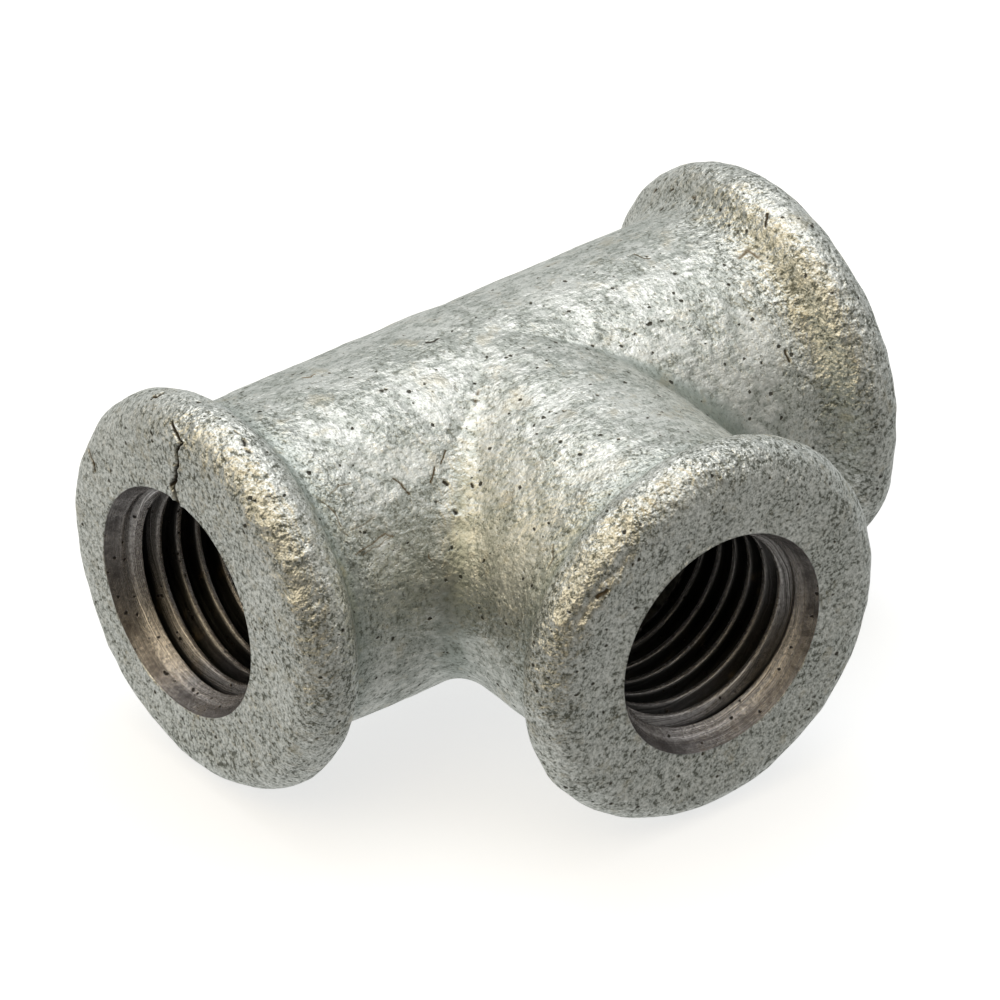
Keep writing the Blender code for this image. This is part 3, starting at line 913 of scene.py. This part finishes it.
def make_casting():
    """The four pieces, each riding on the root body in place of its CAD node."""
    mesh = whole_mesh()
    shape_skin(mesh)
    smooth = [Vector(normal) for normal in vertex_normals(mesh)]
    materials = (galvanised_skin(), machined_iron(), cored_iron())
    for node, name in PIECES.items():
        piece = bpy.data.objects.new(name, cut_out(mesh, node, smooth))
        for material in materials:
            piece.data.materials.append(material)
        bpy.context.scene.collection.objects.link(piece)
        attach(piece, "root")
        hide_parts(node)
    bpy.data.meshes.remove(mesh)


FLOOR_REACH = 1.5
FLOOR_GREY = (0.50, 0.51, 0.53, 1)
FLOOR_ROUGHNESS = 0.9
FLOOR_GLOW = 0.68
WHITE = (1, 1, 1, 1)


def make_floor():
    """A white table that glows: it takes the shadow, but doesn't light the tee or show in it."""
    mesh = bpy.data.meshes.new("floor")
    corners = [(x * FLOOR_REACH, y * FLOOR_REACH, 0) for x, y in ((-1, -1), (1, -1), (1, 1), (-1, 1))]
    mesh.from_pydata(corners, [], [range(4)])
    floor = bpy.data.objects.new("floor", mesh)
    bpy.context.scene.collection.objects.link(floor)
    n = Nodes("floor_white")
    n.put(n.shader.inputs["Base Color"], FLOOR_GREY)
    n.put(n.shader.inputs["Roughness"], FLOOR_ROUGHNESS)
    n.put(n.shader.inputs["Emission Color"], WHITE)
    n.put(n.shader.inputs["Emission Strength"], FLOOR_GLOW)
    floor.data.materials.append(n.material)
    floor.visible_glossy = False
    floor.visible_diffuse = False


def towards(azimuth, elevation):
    """The unit vector to that side: azimuth 0 is -Y and 90 is +X."""
    a, e = math.radians(azimuth), math.radians(elevation)
    return Vector((math.sin(a) * math.cos(e), -math.cos(a) * math.cos(e), math.sin(e)))


UP = Vector((0, 0, 1))

# The camera: the side it is on and its roll in degrees, and its lens in millimetres.
CAMERA_SIDE = (-37.67, 34.45)
CAMERA_ROLL = 0.25
CAMERA_DISTANCE = 839.6 * MM
CAMERA_TO_RIGHT = 0.64 * MM
CAMERA_DOWN = 1.54 * MM
SENSOR_WIDTH = 36
FOCAL_LENGTH = 540.6


def make_camera():
    """The photo's long lens, from the left front and above."""
    back = towards(*CAMERA_SIDE)
    right = UP.cross(back).normalized()
    up = back.cross(right)
    roll = math.radians(CAMERA_ROLL)
    across = math.cos(roll) * right + math.sin(roll) * up
    above = math.cos(roll) * up - math.sin(roll) * right
    place = CENTRE + back * CAMERA_DISTANCE + right * CAMERA_TO_RIGHT - up * CAMERA_DOWN
    camera = bpy.data.objects.new("camera", bpy.data.cameras.new("camera"))
    turn = Matrix((across, above, back)).transposed().to_4x4()
    camera.matrix_world = Matrix.Translation(place) @ turn
    camera.data.sensor_width = SENSOR_WIDTH
    camera.data.lens = FOCAL_LENGTH
    bpy.context.scene.collection.objects.link(camera)
    bpy.context.scene.camera = camera


def lobe(tree, glow):
    """How much of a glow covers each direction: its full cover near its side, and none far from it."""
    dot = tree.nodes.new("ShaderNodeVectorMath")
    dot.operation = "DOT_PRODUCT"
    tree.links.new(tree.nodes["where"].outputs["Generated"], dot.inputs[0])
    dot.inputs[1].default_value = glow.side
    ramp = tree.nodes.new("ShaderNodeMapRange")
    ramp.interpolation_type = "SMOOTHSTEP"
    tree.links.new(dot.outputs["Value"], ramp.inputs["Value"])
    sockets = ("From Min", "From Max", "To Min", "To Max")
    for socket, number in zip(sockets, (glow.wide, glow.narrow, 0, glow.cover)):
        ramp.inputs[socket].default_value = number
    return ramp.outputs["Result"]


# The studio's light, each layer over the ones before: the side it is on, the cosines between which
# it fades, how much of it covers what is under it, and its colour.
Glow = namedtuple("Glow", "side narrow wide cover colour")
DUSK = (0.34, 0.34, 0.32, 1)
OVERHEAD = Glow(UP, 0.95, 0.33, 1.0, (1.08, 1.10, 1.09))
RIGHT_SIDE = Glow(towards(140, -5), 0.95, 0.30, 0.85, (0.63, 0.66, 0.65))
BACK_GROUND = Glow(towards(-165, -52), 0.95, 0.35, 0.80, (0.74, 0.75, 0.72))
WARM_WALL = Glow(towards(-60, 42), 0.95, 0.45, 0.85, (0.95, 0.75, 0.41))
LEFT_LAMP = Glow(towards(-93, 44), 0.985, 0.80, 0.75, (1.68, 1.44, 1.02))
DARK_AT_CAMERA = Glow(towards(-28, 12), 0.97, 0.68, 1.0, (0.02, 0.022, 0.02))
DARK_LOW_LEFT = Glow(towards(-74, -14), 0.97, 0.70, 0.65, (0.18, 0.17, 0.15))
GLOWS = (OVERHEAD, RIGHT_SIDE, BACK_GROUND, WARM_WALL, LEFT_LAMP, DARK_AT_CAMERA, DARK_LOW_LEFT)


def make_world():
    """A dim room with the studio's light laid over it, side by side."""
    world = bpy.data.worlds.new("studio")
    bpy.context.scene.world = world
    world.use_nodes = True
    tree = world.node_tree
    tree.nodes.clear()
    tree.nodes.new("ShaderNodeTexCoord").name = "where"
    background = tree.nodes.new("ShaderNodeBackground")
    out = tree.nodes.new("ShaderNodeOutputWorld")
    tree.links.new(background.outputs[0], out.inputs["Surface"])
    sky = None
    for glow in GLOWS:
        mix = tree.nodes.new("ShaderNodeMix")
        mix.data_type = "RGBA"
        tree.links.new(lobe(tree, glow), mix.inputs[0])
        if sky:
            tree.links.new(sky, mix.inputs[6])
        else:
            mix.inputs[6].default_value = DUSK
        mix.inputs[7].default_value = (*glow.colour, 1)
        sky = mix.outputs[2]
    tree.links.new(sky, background.inputs["Color"])


# The light box: the side it is on in degrees, its distance and size in metres, and its watts.
LIGHT_SIDE = (150, 72)
LIGHT_DISTANCE = 0.6
LIGHT_SIZE = 0.45
LIGHT_POWER = 0.72


def make_lights():
    """One soft light box, high up behind the tee."""
    light = bpy.data.lights.new("overhead", "AREA")
    light.size = LIGHT_SIZE
    light.energy = LIGHT_POWER
    side = towards(*LIGHT_SIDE)
    box = bpy.data.objects.new("overhead", light)
    box.location = CENTRE + side * LIGHT_DISTANCE
    box.rotation_euler = side.to_track_quat("Z", "Y").to_euler()
    bpy.context.scene.collection.objects.link(box)


def main():
    """The stage and the casting, seen through a plain view transform."""
    make_camera()
    make_world()
    make_lights()
    make_floor()
    make_casting()
    bpy.context.scene.view_settings.view_transform = "Standard"


main()
